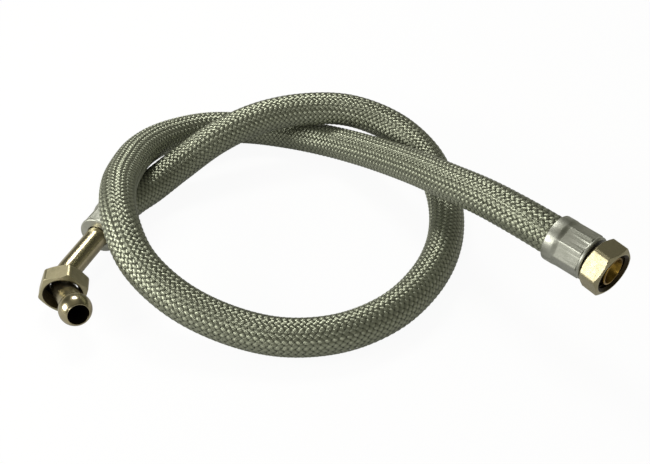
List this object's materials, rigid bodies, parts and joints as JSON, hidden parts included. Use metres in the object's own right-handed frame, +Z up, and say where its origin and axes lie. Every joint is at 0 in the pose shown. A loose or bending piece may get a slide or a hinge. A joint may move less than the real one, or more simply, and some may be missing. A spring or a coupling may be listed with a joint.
{
  "type": "fuel hose",
  "caption": "Wire-braided rubber fuel hose lying in a loose loop, with crimped ferrules, a straight union with a captive nut, and a bent pipe with a ball end and a captive nut.",
  "frame": {"origin": "on the surface the hose lies on, below the middle of the two end fittings' shared box", "axes": "+Z up from the surface, +X from the bent end's fittings towards the straight end's, +Y away from the side of the loop where both ends point"},
  "size_m": [0.2358, 0.1783, 0.054],
  "materials": {
    "hose_rubber": "matt black",
    "braided_wire": "plated steel wire, plain weave, slightly dulled",
    "zinc_plate": "zinc plated, satin",
    "nut_plate": "plated steel with a pale yellow cast, satin",
    "pipe_plate": "plated steel with a pale yellow cast, smooth",
    "stem_brass": "turned, worn"
  },
  "bodies": {
    "hose": {"hose_liner": "hose_rubber", "wire_braid": "braided_wire", "straight_end_ferrule": "zinc_plate", "straight_stem": "stem_brass", "bent_end_ferrule": "zinc_plate", "bent_pipe_stem": "pipe_plate"},
    "straight_nut": {"straight_end_union_nut": "nut_plate"},
    "bent_nut": {"bent_end_union_nut": "nut_plate"}
  },
  "joints": [
    {"name": "straight_nut_turn", "type": "hinge", "parent": "hose", "child": "straight_nut", "pos_m": [0.10749, -0.04255, 0.04295], "axis": [0.5988, -0.7926, -0.1151], "continuous": true},
    {"name": "bent_nut_turn", "type": "hinge", "parent": "hose", "child": "bent_nut", "pos_m": [-0.1069, -0.00325, 0.01004], "axis": [0.0935, -0.9949, -0.0379], "continuous": true}
  ]
}
